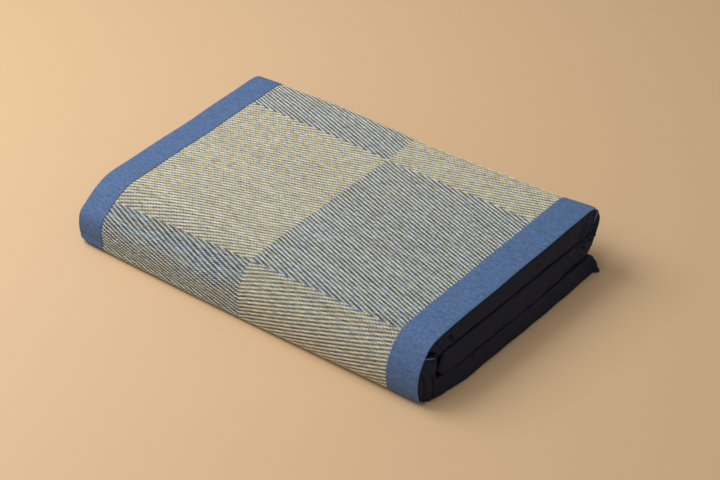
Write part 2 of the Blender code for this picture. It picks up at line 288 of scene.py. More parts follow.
def innerFace(s, x):
    y = np.interp(s, pathAt, pathRows[:, 2])
    z = np.interp(s, pathAt, pathRows[:, 3])
    y = y + backShift(x) * ramp(y, *fold["innerLeanDepth"]) * ramp(s, sWall, sTop)
    return np.stack([x + 0.0 * y, y, z + 0.0 * x], -1) - np.array(fold["place"])


print("outline:", round(float(pathLength), 3), "m along the mat")


class Wire:
    # one shader output; + - * make Math nodes, or Vector Math nodes for colours and vectors
    def __init__(self, tree, socket):
        self.tree = tree
        self.socket = socket

    def op(self, operation, first, second):
        wires = [w for w in (first, second) if isinstance(w, Wire)]
        vector = any(w.socket.type != "VALUE" for w in wires)
        node = self.tree.nodes.new("ShaderNodeVectorMath" if vector else "ShaderNodeMath")
        node.operation = operation
        for slot, value in zip(node.inputs, (first, second)):
            if isinstance(value, Wire):
                self.tree.links.new(value.socket, slot)
            elif vector and not hasattr(value, "__len__"):
                slot.default_value = (value,) * 3
            else:
                slot.default_value = value
        return Wire(self.tree, node.outputs[0])

    def __add__(self, other):
        return self.op("ADD", self, other)

    def __radd__(self, other):
        return self.op("ADD", other, self)

    def __sub__(self, other):
        return self.op("SUBTRACT", self, other)

    def __rsub__(self, other):
        return self.op("SUBTRACT", other, self)

    def __mul__(self, other):
        return self.op("MULTIPLY", self, other)

    def __rmul__(self, other):
        return self.op("MULTIPLY", other, self)

    def blend(self, low, high):
        # this value as the factor between two colours
        node = self.tree.nodes.new("ShaderNodeMix")
        node.data_type = "RGBA"
        self.tree.links.new(self.socket, node.inputs[0])
        for slot, value in zip((node.inputs[6], node.inputs[7]), (low, high)):
            if isinstance(value, Wire):
                self.tree.links.new(value.socket, slot)
            else:
                slot.default_value = (*value, 1.0)
        return Wire(self.tree, node.outputs[2])


class Paint:
    # a Principled material and the nodes that feed it
    def __init__(self, name, colour, roughness, **extra):
        self.material = bpy.data.materials.new(name)
        self.material.use_nodes = True
        self.tree = self.material.node_tree
        self.shader = self.tree.nodes["Principled BSDF"]
        self.shader.inputs["Base Color"].default_value = (*colour, 1.0)
        self.shader.inputs["Roughness"].default_value = roughness
        for key, value in extra.items():
            self.shader.inputs[key.replace("_", " ")].default_value = value

    def node(self, kind, settings=None, output=0, **inputs):
        made = self.tree.nodes.new(kind)
        for key, value in (settings or {}).items():
            setattr(made, key, value)
        for key, value in inputs.items():
            socket = made.inputs[key.replace("_", " ")]
            if isinstance(value, Wire):
                self.tree.links.new(value.socket, socket)
            else:
                socket.default_value = value
        return Wire(self.tree, made.outputs[output])

    def objectCoords(self):
        return self.node("ShaderNodeTexCoord", output=3)

    def feed(self, name, wire):
        self.tree.links.new(wire.socket, self.shader.inputs[name])


def linear(red, green, blue):
    # a screen colour, 0 to 255, as scene-linear values
    values = np.array([red, green, blue]) / 255.0
    low = values <= 0.04045
    return tuple(np.where(low, values / 12.92, ((values + 0.055) / 1.055) ** 2.4))


def addPiece(name, points, faces, paints, slots=None):
    mesh = bpy.data.meshes.new(name)
    mesh.from_pydata(np.asarray(points).tolist(), [], faces)
    for paint in paints:
        mesh.materials.append(paint.material)
    if slots is not None:
        mesh.polygons.foreach_set("material_index", np.asarray(slots, dtype=np.int32))
    mesh.polygons.foreach_set("use_smooth", [True] * len(mesh.polygons))
    mesh.update()
    piece = bpy.data.objects.new(name, mesh)
    bpy.context.scene.collection.objects.link(piece)
    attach(piece, "root")
    return piece


def sweep(rings):
    # closed body through equal closed rings, both ends capped with a middle point
    count, size = len(rings), len(rings[0])
    points = np.concatenate([*rings, [np.mean(rings[0], axis=0)], [np.mean(rings[-1], axis=0)]])
    faces = []
    for row in range(count - 1):
        for i in range(size):
            a, b = row * size + i, row * size + (i + 1) % size
            faces.append((a, b, b + size, a + size))
    first, last = count * size, count * size + 1
    for i in range(size):
        j = (i + 1) % size
        faces.append((j, i, first))
        faces.append(((count - 1) * size + i, (count - 1) * size + j, last))
    return points, faces


# pad: black cloth over the padding, dark blue cloth on the faces folded inside
# Shares and Parts run over an end wall, from the outer face to the inner one
pad = {
    "colour": (17, 27, 51),
    "backColour": (19, 33, 62),
    "roughness": 0.62,
    "shine": 0.3,
    "grainScale": 900.0,
    "grainHeight": 0.12,
    "softScale": 55.0,
    "softTwist": 0.6,
    "bumpStrength": 0.5,
    "bumpDistance": 0.0016,
    "acrossPoints": 17,
    "wallPoints": 29,
    "wallInset": 0.03,
    "step": 0.004,
    "fineStep": 0.002,  # round the folds
    "foldMargin": 0.01,
    "lastStep": 0.006,
    "corner": 0.0045,  # radius of the wall's edges
    "least": 0.0004,  # least bulge, and least height over the floor
    "creaseGain": 1.6,
    "creaseBow": 0.0025,
    "creaseStart": (-0.12, 0.18),  # share of a crease's length
    "creaseEnd": (0.80, 1.12),
    "creasePuff": (0.45, 1.9),  # the cloth beside a crease: height, and widths away
    "creaseInset": 0.004,
    "creaseDeepest": 0.016,
    "deepInset": (0.0005, 0.0030),
    "leftPush": (0.006, 0.002),  # creases lie elsewhere on the left wall: in y and z
    "leftTurns": (9, 14),
    "plainShares": (0.18, 0.405),  # no creases near the outline at the back fold
    "plainAt": (0.010, 0.045),  # past the crest, and reach
    "swell": 0.0009,
    "swellTurns": (57, 1.7, 31, 4),
    "swellFull": 0.008,  # the bulge from which it swells fully
    "bottomWall": (0.030, 0.044),  # bottom layer's wall ends, past the front fold's start
    "bottomBulge": 0.0058,
    "bottomCorner": 0.002,  # its edges are this much sharper
    "bottomSinkShares": (0, 0.03, 0.13, 0.34, 0.7),
    "bottomSink": (0.0, 0.002, 0.0072, 0.0050, 0.0),
    "sag": 0.0070,  # middle layer's wall hangs over its binding
    "sagShares": (0.02, 0.12, 0.34, 0.6),
    "sagParts": (0, 1, 0.42, 0),
    "sagStart": (0.05, 0.01),  # before and past the middle layer's start
    "lip": (0.0034, 0.0012),  # right wall stands out at the back fold: back and out, up
    "lipAt": (0.010, 0.024),  # before the crest, and reach
    "lipUp": (0.10, 0.13),
    "lipOut": (0.12, 0.16),
    "earShares": (0, 0.08, 0.20, 0.60, 0.85),  # the bottom layer's right back corner
    "earReach": (0.0105, 0.0115, 0.0078, 0.0074, 0.0030),
}

# creases on the right wall: y, z at both ends, half width, depth
creases = (
    (0.0265, 0.0915, 0.0500, 0.0820, 0.0028, 0.0085),
    (0.0870, 0.0985, 0.1000, 0.0800, 0.0034, 0.0042),
    (0.0760, 0.0980, 0.0850, 0.0830, 0.0045, -0.0014),
    (0.0560, 0.1030, 0.0640, 0.0830, 0.0030, 0.0020),
    (0.1290, 0.0400, 0.1305, 0.0270, 0.0016, 0.0030),
    (0.1600, 0.0340, 0.1640, 0.0150, 0.0030, 0.0008),
    (0.0145, 0.0620, 0.0130, 0.0100, 0.0024, 0.0030),
    (0.0300, 0.0560, 0.0285, 0.0060, 0.0026, 0.0032),
    (0.0225, 0.0560, 0.0215, 0.0060, 0.0030, -0.0020),
    (0.0480, 0.0330, 0.0620, 0.0120, 0.0040, 0.0010),
    (0.2100, 0.1000, 0.2250, 0.0830, 0.0050, 0.0008),
    (0.3050, 0.0980, 0.3150, 0.0830, 0.0050, 0.0008),
    (0.1900, 0.0720, 0.1960, 0.0480, 0.0060, 0.0008),
    (0.2800, 0.0700, 0.2900, 0.0480, 0.0060, 0.0009),
    (0.3600, 0.0700, 0.3500, 0.0480, 0.0050, 0.0010),
    (0.4100, 0.0740, 0.4350, 0.0480, 0.0045, 0.0014),
    (0.4450, 0.0760, 0.4750, 0.0560, 0.0035, 0.0032),
    (0.4600, 0.0780, 0.5000, 0.0640, 0.0036, 0.0036),
    (0.4700, 0.0790, 0.5160, 0.0760, 0.0036, 0.0040),
    (0.4780, 0.0800, 0.5230, 0.0860, 0.0026, 0.0022),
    (0.4830, 0.0810, 0.5260, 0.1010, 0.0030, 0.0026),
    (0.4560, 0.0850, 0.4900, 0.1060, 0.0050, 0.0016),
    (0.4250, 0.0300, 0.4450, 0.0120, 0.0045, 0.0012),
    (0.4580, 0.0330, 0.4720, 0.0120, 0.0040, 0.0018),
    (0.3400, 0.0330, 0.3500, 0.0120, 0.0050, 0.0008),
)
# hollows with steep sides: y, z, reach, depth
hollows = (
    (0.0355, 0.0898, 0.0042, 0.0115),
    (0.0330, 0.0745, 0.0080, -0.0036),
    (0.0930, 0.0855, 0.0040, 0.0030),
    (0.5120, 0.1120, 0.0060, 0.0030),
)
# free ends of two layers: distance out, share of thickness, drawn in, share of the ear
bottomRounding = (
    (0.0000, 1.00, 0.0000, 0.45),
    (0.0025, 0.99, 0.0004, 0.80),
    (0.0050, 0.95, 0.0015, 1.00),
    (0.0072, 0.88, 0.0028, 0.97),
    (0.0090, 0.78, 0.0045, 0.80),
    (0.0104, 0.63, 0.0065, 0.50),
    (0.0112, 0.44, 0.0088, 0.22),
)
middleRounding = (
    (0.0022, 0.98, 0.0004, 0.0),
    (0.0042, 0.93, 0.0014, 0.0),
    (0.0058, 0.85, 0.0028, 0.0),
    (0.0070, 0.73, 0.0045, 0.0),
    (0.0078, 0.55, 0.0066, 0.0),
)


def padCloth(name, colour):
    paint = Paint(name, linear(*colour), pad["roughness"], Specular_IOR_Level=pad["shine"])
    coords = paint.objectCoords()
    grain = paint.node("ShaderNodeTexNoise", Vector=coords, Scale=pad["grainScale"], Detail=2.0)
    soft = paint.node(
        "ShaderNodeTexNoise",
        Vector=coords,
        Scale=pad["softScale"],
        Detail=2.0,
        Distortion=pad["softTwist"],
    )
    bump = paint.node(
        "ShaderNodeBump",
        Height=grain * pad["grainHeight"] + soft,
        Strength=pad["bumpStrength"],
        Distance=pad["bumpDistance"],
    )
    paint.feed("Normal", bump)
    return paint


def creaseHeight(side, y, z):
    # how far the cloth is drawn in (or puffed, below zero) at a place on the end wall
    if side < 0:
        (pushY, pushZ), (turnY, turnZ) = pad["leftPush"], pad["leftTurns"]
        y, z = y + pushY * np.sin(turnY * y), z - pushZ * np.sin(turnZ * y)
    puff, widthsAway = pad["creasePuff"]
    total = np.zeros_like(y)
    for y0, z0, y1, z1, width, depth in creases:
        alongY, alongZ = y1 - y0, z1 - z0
        length = math.hypot(alongY, alongZ)
        t = ((y - y0) * alongY + (z - z0) * alongZ) / length**2
        bow = pad["creaseBow"] * np.sin(math.pi * np.clip(t, 0, 1))
        off = ((y - y0) * alongZ - (z - z0) * alongY) / length + bow
        along = ramp(t, *pad["creaseStart"]) * (1.0 - ramp(t, *pad["creaseEnd"]))
        shape = bell(off, 0, width) - puff * bell(off, widthsAway * width, width)
        total += pad["creaseGain"] * depth * along * shape
    for y0, z0, reach, depth in hollows:
        total += depth * np.exp(-((((y - y0) ** 2 + (z - z0) ** 2) / reach**2) ** 2))
    return total


wallAngles = np.linspace(pad["wallInset"], 1.0 - pad["wallInset"], pad["wallPoints"]) * math.pi
wallShares = (1.0 - np.cos(wallAngles)) / 2  # points lie closer near both edges


def wallBulge(side, s, line, thickness):
    # how far an end wall's points stand out of the mat's edge
    least = pad["least"]
    outer = np.interp(s, pathAt, pathRows[:, 4])
    inner = np.interp(s, pathAt, pathRows[:, 5])
    bulge = outer + (inner - outer) * wallShares
    a, b, c, d = pad["swellTurns"]
    swell = np.sin(a * s + b * side) * np.sin(c * s + d * wallShares)
    bulge = bulge + pad["swell"] * swell * np.minimum(bulge / pad["swellFull"], 1.0)
    fromEdge = np.minimum(wallShares, 1 - wallShares) * thickness
    bottom = bottomPart(s)
    bulge = np.maximum(bulge, pad["bottomBulge"] * bottom)
    radius = np.minimum(pad["corner"] - pad["bottomCorner"] * bottom, np.maximum(bulge, least))
    turn = 1.0 - np.clip(fromEdge / radius, 0.0, 1.0)
    bulge = bulge - radius * (1.0 - np.sqrt(1.0 - turn**2))
    past, reach = pad["plainAt"]
    plain = bell(s, sCrest + past, reach)
    low, high = pad["plainShares"]
    creased = ramp(fromEdge, 0.0, pad["creaseInset"])
    creased = creased * ramp(wallShares, low * plain, high * plain + 0.001)  # never zero wide
    y, z = line[:, 1] + fold["place"][1], line[:, 2]
    bulge = bulge - creaseHeight(side, y, z) * creased
    return np.maximum(bulge, least - pad["creaseDeepest"] * ramp(fromEdge, *pad["deepInset"]))


def bottomPart(s):
    start, end = pad["bottomWall"]
    return 1.0 - ramp(s, sFront + start, sFront + end)


def padWall(side, s):
    # one end wall between the outer and inner faces, in the record frame
    outer = skin(s, side * rushHalf, padOut)
    inner = innerFace(np.array([s]), np.array([side * rushHalf]))[0]
    line = outer + (inner - outer) * wallShares[:, None]
    line[:, 0] += side * wallBulge(side, s, line, np.linalg.norm(inner - outer))
    sink = np.interp(wallShares, pad["bottomSinkShares"], pad["bottomSink"])
    line[:, 2] = np.maximum(line[:, 2] - bottomPart(s) * sink, pad["least"])
    sag = np.interp(wallShares, pad["sagShares"], pad["sagParts"]) * pad["sag"]
    before, past = pad["sagStart"]
    line[:, 2] -= sag * ramp(s, sMiddle - before, sMiddle + past)
    if side > 0:
        outwards, up = pad["lip"]
        before, reach = pad["lipAt"]
        lip = bell(s, sCrest - before, reach)
        line[:, 0] += outwards * lip * bell(wallShares, *pad["lipOut"])
        line[:, 1] += outwards * lip * bell(wallShares, *pad["lipUp"])
        line[:, 2] += up * lip * bell(wallShares, *pad["lipUp"])
    return line


def roundedEnd(ring, towards, rows):
    # smaller sections past a free end; the ear is its right corner, drawn out near the floor
    middle = (ring[:, 2].max() + ring[:, 2].min()) / 2
    widest = np.abs(ring[:, 0]).max()
    reach = np.interp(wallShares, pad["earShares"], pad["earReach"])
    firstWall = pad["acrossPoints"]
    ends = []
    for distance, thickness, drawnIn, ear in rows:
        copy = ring.copy()
        copy[:, 1] += towards * distance
        copy[:, 2] = middle + (ring[:, 2] - middle) * thickness
        copy[:, 0] *= 1.0 - drawnIn / widest
        copy[firstWall : firstWall + len(wallShares), 0] += reach * ear
        ends.append(copy)
    return ends


def padStations():
    margin = pad["foldMargin"]
    stations = [0.0]
    while stations[-1] < pathLength - pad["lastStep"]:
        s = stations[-1]
        atFold = sFront - margin < s < sTop + margin or sBack < s < sMiddle + margin
        stations.append(s + pad["fineStep" if atFold else "step"])
    return [*stations, pathLength]


def padRings():
    across = np.linspace(-rushHalf, rushHalf, pad["acrossPoints"])
    rings = []
    for s in padStations():
        outer = skin(s, across, padOut)
        inner = innerFace(np.full_like(across, s), across)
        rings.append(np.concatenate([outer, padWall(1, s), inner[::-1], padWall(-1, s)[::-1]]))
    first = roundedEnd(rings[0], 1.0, bottomRounding)
    last = roundedEnd(rings[-1], -1.0, middleRounding)
    return first[::-1] + rings[1:] + last


padPaint = padCloth("padCloth", pad["colour"])
backPaint = padCloth("padBack", pad["backColour"])
padRingList = padRings()
padPoints, padFaces = sweep(padRingList)
ringSize = len(padRingList[0])
firstBack = pad["acrossPoints"] + len(wallShares)
lastBack = firstBack + pad["acrossPoints"] - 1
padSlots = [int(firstBack <= face[0] % ringSize < lastBack) for face in padFaces]
padPiece = addPiece("padCloth", padPoints, padFaces, [padPaint, backPaint], padSlots)
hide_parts("pad")
print("pad:", len(padFaces), "faces")

# rush: a thin backing, with the stems woven over it
# Across pairs grow to the left, Along values are counted from the pattern's first turn
rush = {
    "pitch": 0.00190,  # from stem to stem along the mat
    "warp": 0.0063,  # one step of the weave across the mat
    "blockRows": 202,  # from one turn of the pattern to the next
    "blockStart": (0.0465, 0.1070),  # y and z of the first turn of the pattern
    "columnX": 0.0095,  # where the pattern turns across the mat
    "skew": -0.026,  # the rows fan out a little towards the back
    "frontDrop": (0.008, 0.003),  # rows lie lower on the left of the front fold
    "dropAcross": ((-0.04, 0.10), (0.10, 0.36)),
    "dropAlong": (0.004, 0.062, 0.135),  # forwards: starts, is full, has come back by dropBack
    "dropBack": 0.65,
    "shoulderSpread": (0.006, 0.009),  # rows spread on the left of the top, then close up
    "spreadAcross": (0.02, 0.25),
    "spreadAlong": ((0.0, 0.08), (0.15, 0.40)),
    "backCrowd": (0.00008, 0.0006),  # rows of the last block lie closer, more so on the left
    "crowdRows": 40.0,
    "strawRise": 0.00120,  # straw stems stand over the blue ones
    "strawUneven": (0.82, 1.08),
    "blueRise": 0.00065,
    "tipRise": 0.00020,
    "dive": 0.0029,
    "strawOver": -0.0001,  # straw stems past half a repeat, at each end, in the pale blocks
    "blueOver": -0.0020,  # and in the blue blocks
    "endJitter": 0.0007,  # how unevenly the stems come up and go down
    "endClear": 0.0007,  # no place of a stem lies closer than this to a row's end
    "underBinding": 0.0004,
    "rowRise": (0.88, 1.06),
    "sunkShare": 0.05,  # share of rows that lie lower, by sunkRise
    "sunkRise": 0.6,
    "rowJitter": 0.00012,
    "wander": ((0.0010, 97, 0.0), (0.0006, 231, 1.0)),  # size, turns and phase
    "sway": ((0.0001, 23), (0.00007, 61)),
    "swayPhases": (0.0, 6.28),
    "highCrest": 0.001,
    "highWidths": (1.005, 0.56),  # a stem's foot and crest, as shares of half its pitch
    "lowWidths": (0.95, 0.445),
    "tipPull": 0.0013,
    "tipCrest": 0.3,
    "footDepth": 0.00008,
    "straw": ((190, 174, 132), (204, 191, 143), (211, 198, 170), (214, 204, 163), (226, 218, 187)),
    "strawShare": (0.06, 0.25, 0.14, 0.39, 0.16),
    "strawRoughness": 0.62,
    "blue": ((50, 75, 103), (66, 99, 135), (86, 108, 114), (88, 120, 147), (112, 141, 160)),
    "blueShare": (0.28, 0.36, 0.06, 0.20, 0.10),
    # painted shade: the blue stems of the pale blocks, painted grey as they look in the shade of
    # the straw
    "grey": ((82, 96, 116), (100, 116, 136), (114, 112, 106), (120, 132, 144), (136, 142, 142)),
    "greyShare": (0.24, 0.32, 0.12, 0.20, 0.12),
    "darkRoughness": 0.65,
    "rowTone": 0.16,  # how much the shade differs from row to row
    "secondShade": 0.30,  # share of stems that change shade half way
    # painted shade: the dark backing shows between the stems as the shade there
    "under": (44, 46, 48),
    "underRoughness": 0.8,
    "backingStep": 0.006,
    "backingLast": 0.003,
    "backingPoints": 25,
    "backingSink": 0.0001,
    "pieceRows": (50, 170),  # rows where the front and top pieces of stems end
    "foldMargins": (0.02, 0.01),  # stems past the front fold's foot and the back fold's end
    "endMargin": 0.004,
}


def stemPaintsOf(name, shades, roughness):
    return [Paint(f"{name}{i}", linear(*c), roughness) for i, c in enumerate(shades)]


strawPaints = stemPaintsOf("straw", rush["straw"], rush["strawRoughness"])
bluePaints = stemPaintsOf("blueRush", rush["blue"], rush["darkRoughness"])
# grey paints: painted shade on the blue stems of the pale blocks
shadeGreyPaints = stemPaintsOf("shadeGreyRush", rush["grey"], rush["darkRoughness"])
# the backing's dark colour is painted shade between the rows of stems
backingShadePaint = Paint("rushBackingShade", linear(*rush["under"]), rush["underRoughness"])
stemPaints = [*strawPaints, *bluePaints, *shadeGreyPaints]
sBlock = pathWhere(*rush["blockStart"])


def rushBacking():
    steps = np.arange(0.0, pathLength - rush["backingLast"], rush["backingStep"])
    across = np.linspace(-rushHalf, rushHalf, rush["backingPoints"])
    rings = []
    for s in np.append(steps, pathLength):
        top = skin(s, across, rushOut + rush["backingSink"])
        low = skin(s, across[::-1], rushIn)
        rings.append(np.concatenate([top, low]))
    points, faces = sweep(rings)
    return addPiece("rushBacking", points, faces, [backingShadePaint])


def rowPlace(row, x):
    # distance along the mat of a row of stems, which isn't quite straight
    blockRows = rush["blockRows"]
    at = rush["pitch"] * row
    place = sBlock + at + rush["skew"] * min(max(row / blockRows, 0.0), 1.0) * x
    closer, fan = rush["backCrowd"]
    place = place + min(max(row - blockRows, 0.0), rush["crowdRows"]) * (fan * x - closer)
    (near, far), (nearSpan, farSpan) = rush["frontDrop"], rush["dropAcross"]
    left = near * ramp(-x, *nearSpan) + far * ramp(-x, *farSpan)
    start, full, end = rush["dropAlong"]
    place = place - left * (ramp(-at, start, full) - rush["dropBack"] * ramp(-at, full, end))
    (apart, together), (apartSpan, togetherSpan) = rush["shoulderSpread"], rush["spreadAlong"]
    left = ramp(-x, *rush["spreadAcross"])
    return place + left * (apart * ramp(at, *apartSpan) - together * ramp(at, *togetherSpan))


def pickShade(shares, tone):
    value = min(max(rng.random() + tone, 0.0), 0.999)
    return int(np.searchsorted(np.cumsum(shares), value))


def darkShade(pale, tone):
    # paint number of a dark stem; in the pale blocks the blue stems get grey paints, painted shade
    # between the raised straw
    if pale:
        return len(strawPaints) + len(bluePaints) + pickShade(rush["greyShare"], tone)
    return len(strawPaints) + pickShade(rush["blueShare"], tone)


def stemNodes(phase, reach, pale, shift, tone, fine):
    # places along one stem: distance, pointed side, crest height, paint from here on
    warp, dive, jitter, clear = (rush[key] for key in ("warp", "dive", "endJitter", "endClear"))
    over = rush["strawOver"] if pale else rush["blueOver"]
    nodes = []
    start = ((-phase % 4) - 4) * warp + shift
    while start < reach:
        low = start - over + rng.uniform(-jitter, jitter)
        high = start + 2 * warp + over + rng.uniform(-jitter, jitter)
        rise = rush["strawRise"] * rng.uniform(*rush["strawUneven"])
        straw = pickShade(rush["strawShare"], tone)
        second = straw
        if rng.random() < rush["secondShade"]:
            second = pickShade(rush["strawShare"], tone)
        blue = darkShade(pale, tone)
        nodes.append((low, -1, rush["tipRise"], straw))
        nodes.append((low + dive, 0, rise, straw))
        nodes.append((high - dive, 0, rise, second))
        nodes.append((high, 1, rush["tipRise"], blue))
        if fine:
            second = darkShade(pale, tone) if rng.random() < rush["secondShade"] else blue
            nodes.append(((high + start + 4 * warp - over) / 2, 0, rush["blueRise"], second))
        start += 4 * warp
    inside = [n for n in nodes if clear < n[0] < reach - clear]
    before = [n for n in nodes if n[0] <= clear][-1]
    last = inside[-1]
    return [(0.0, 0, before[2], before[3]), *inside, (reach, 0, rush["tipRise"], last[3])]


def stemLines(row, side, nodes, rowRise, rowShift, wobble):
    # four points over each place of a stem: edge, shoulder, shoulder, edge
    u, tip, crest, _ = np.array(nodes).T
    x = rush["columnX"] + side * u
    before, after = rowPlace(row, x), rowPlace(row + 1, x)
    (size0, turns0), (size1, turns1) = rush["sway"]
    sway = size0 * np.sin(turns0 * u + wobble[0]) + size1 * np.sin(turns1 * u + wobble[1])
    centre = (before + after) / 2 + rowShift + sway
    half = (after - before) / 2
    high = crest > rush["highCrest"]
    (highEdge, highTop), (lowEdge, lowTop) = rush["highWidths"], rush["lowWidths"]
    edge = half * np.where(high, highEdge, lowEdge)
    shoulder = half * np.where(high, highTop, lowTop)
    along = np.stack([centre - edge, centre - shoulder, centre + shoulder, centre + edge], -1)
    pull = rush["tipPull"] * tip
    crestX = u + rush["tipCrest"] * pull
    across = np.stack([u - pull, crestX, crestX, u - pull], -1)
    across = rush["columnX"] + side * np.maximum(across, 0.0)
    rise = -crest * rowRise
    foot = np.full_like(u, rush["footDepth"])
    return along, across, np.stack([foot, rise, rise, foot], -1)


def stemRows(firstRow, lastRow, fine):
    blockRows, jitter = rush["blockRows"], rush["rowJitter"]
    lines, faces, slots = [], [], []
    count = 0
    for row in range(firstRow, lastRow):
        within = row % (2 * blockRows)
        rising = within < blockRows
        phase = within if rising else 2 * blockRows - within
        sunk = rng.random() < rush["sunkShare"]
        rowRise = (rush["sunkRise"] if sunk else 1.0) * rng.uniform(*rush["rowRise"])
        rowShift = rng.uniform(-jitter, jitter)
        tone = rng.normal(0.0, rush["rowTone"])
        wobble = rng.uniform(*rush["swayPhases"], 2)
        at = rush["pitch"] * row
        wander = sum(size * math.sin(turns * at + start) for size, turns, start in rush["wander"])
        for side in (1, -1):
            reach = bindingInner + rush["underBinding"] - side * rush["columnX"]
            nodes = stemNodes(phase, reach, (side > 0) != rising, wander, tone, fine)
            lines.append(stemLines(row, side, nodes, rowRise, rowShift, wobble))
            for k in range(1, len(nodes)):
                start = count + 4 * (k - 1)
                for i in range(start, start + 3):
                    quad = (i, i + 1, i + 5, i + 4)
                    faces.append(quad if side < 0 else quad[::-1])
                    slots.append(nodes[k - 1][3])
            count += 4 * len(nodes)
    s, x, depth = (np.concatenate(part).ravel() for part in zip(*lines))
    return skin(s, x, rushOut + depth), faces, slots


backing = rushBacking()
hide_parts("rush_face")
frontMargin, backMargin = rush["foldMargins"]
rowsBefore = int((sBlock - sFront + frontMargin) / rush["pitch"])
rowsAfter = int((sMiddle + backMargin - sBlock) / rush["pitch"])
rowsUnder = int((sBlock - rush["endMargin"]) / rush["pitch"])
frontRows, topRows = rush["pieceRows"]
for name, first, last, fine in (
    ("rushStemsFront", -rowsBefore, frontRows, True),
    ("rushStemsTop", frontRows, topRows, True),
    ("rushStemsBack", topRows, rowsAfter, True),
    ("rushStemsUnder", -rowsUnder, -rowsBefore, False),
):
    points, faces, slots = stemRows(first, last, fine)
    stems = addPiece(name, points, faces, stemPaints, slots)
    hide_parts("rush_face")
    print(name, last - first, "rows", len(faces), "faces")

# bindings: one strip along each long edge, turned down over the rush's edge
binding = {
    "colour": (93, 119, 160),
    "dark": (66, 92, 131),
    # painted highlight: lighter blue where the binding's outer fold edge catches the light
    "rim": (98, 144, 206),
    # painted highlight: the edges turned in at the folds, a lighter blue than the binding
    "turned": (88, 120, 172),
    "roughness": 0.8,
    "shine": 0.3,
    "cloudScale": 160.0,
    "cloudShare": 0.6,
    "streakScale": (40.0, 400.0, 400.0),
    "streakShare": 0.4,
    "mottle": 3.0,  # how strongly the cloth's shades differ
    "bumpStrength": 0.3,
    "bumpDistance": 0.0005,
    "turnDown": 0.0035,
    "step": 0.004,
    "lastStep": 0.002,
    "ripple": 0.00012,
    "rippleTurns": (300, 47),  # across and along
    "waveTurns": (83, 29),
    "waveEdge": (0.43, 0.44),
    "turnIn": 0.0045,  # right binding's edge sinks at the back fold
    "turnInAt": (0.006, 0.016),  # before the crest, and reach
    "turnInEdge": (0.431, 0.4395),
    "rimHighlightFaces": (12, 13),  # faces of the section painted with the rim's highlight
    "edgeRings": 25,
    "edgeSides": 8,
    "edgeThick": 0.0008,
}

bindingPaint = Paint(
    "bindingCloth",
    linear(*binding["colour"]),
    binding["roughness"],
    Specular_IOR_Level=binding["shine"],
)
coords = bindingPaint.objectCoords()
cloud = bindingPaint.node(
    "ShaderNodeTexNoise", Vector=coords, Scale=binding["cloudScale"], Detail=3.0
)
streak = bindingPaint.node(
    "ShaderNodeTexNoise", Vector=coords * binding["streakScale"], Scale=1.0, Detail=2.0
)
tone = cloud * binding["cloudShare"] + streak * binding["streakShare"]
shade = tone * binding["mottle"] - (binding["mottle"] - 1) / 2
bindingPaint.feed("Base Color", shade.blend(linear(*binding["dark"]), linear(*binding["colour"])))
bindingBump = bindingPaint.node(
    "ShaderNodeBump",
    Height=tone,
    Strength=binding["bumpStrength"],
    Distance=binding["bumpDistance"],
)
bindingPaint.feed("Normal", bindingBump)
# painted highlight along the outer edge of each binding's fold
rimHighlightPaint = Paint("bindingRimHighlight", linear(*binding["rim"]), binding["roughness"])
# painted highlight on the binding's turned-in edges
turnedHighlightPaint = Paint("bindingTurned", linear(*binding["turned"]), binding["roughness"])

# across the strip: distance from the mat's middle, depth
bindingSection = (
    (0.3714, 0.00100),
    (0.3710, 0.00060),
    (0.3714, 0.00020),
    (0.3724, 0.00000),
    (0.3780, 0.00000),
    (0.3860, 0.00000),
    (0.3950, 0.00000),
    (0.4050, 0.00000),
    (0.4150, 0.00000),
    (0.4250, 0.00000),
    (0.4330, 0.00002),
    (0.4376, 0.00006),
    (0.4392, 0.00030),
    (0.43995, 0.00090),
    (0.4400, 0.00180),
    (0.4399, 0.00280),
    (0.4393, 0.00340),
    (0.4380, 0.00350),
    (0.4370, 0.00330),
    (0.4368, 0.00240),
    (0.4368, 0.00125),
    (0.4310, 0.00120),
    (0.4050, 0.00120),
    (0.3800, 0.00120),
)


def makeBinding(name, side, node):
    steps = np.arange(0.0, pathLength - binding["lastStep"], binding["step"])
    sectionX, sectionDepth = np.array(bindingSection).T
    upper = np.where(sectionDepth < 0.0001, 0.5 * binding["ripple"], 0.0)  # outer face only
    (waveA, waveB), (rippleX, rippleS) = binding["waveTurns"], binding["rippleTurns"]
    before, reach = binding["turnInAt"]
    rings = []
    for s in np.append(steps, pathLength):
        wave = math.sin(waveA * s + side) * math.sin(waveB * s) * binding["ripple"]
        x = sectionX + wave * ramp(sectionX, *binding["waveEdge"])
        depth = sectionDepth + upper * (1 + np.sin(rippleX * sectionX + rippleS * s))
        if side > 0:
            sunk = binding["turnIn"] * bell(s, sCrest - before, reach)
            depth = depth + sunk * ramp(x, *binding["turnInEdge"])
        ring = skin(s, side * x, depth)
        rings.append(ring if side > 0 else ring[::-1])
    points, faces = sweep(rings)
    size = len(bindingSection)
    rim = [k if side > 0 else size - 2 - k for k in binding["rimHighlightFaces"]]
    swept = (len(rings) - 1) * size
    slots = [int(k < swept and k % size in rim) for k in range(len(faces))]
    strip = addPiece(name, points, faces, [bindingPaint, rimHighlightPaint], slots)
    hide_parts(node)
    return strip


# edges of the right binding that turn in at the folds: x, y, z, half width
turnedEdges = (
    (
        (0.4400, 0.0262, 0.0878, 0.0008),
        (0.4438, 0.0307, 0.0862, 0.0010),
        (0.4466, 0.0363, 0.0846, 0.0009),
        (0.4479, 0.0428, 0.0825, 0.0004),
    ),
    (
        (0.4414, 0.5240, 0.1117, 0.0010),
        (0.4422, 0.5207, 0.1074, 0.0022),
        (0.4406, 0.5185, 0.1010, 0.0022),
        (0.4402, 0.5147, 0.0952, 0.0012),
        (0.4405, 0.5091, 0.0922, 0.0004),
    ),
)


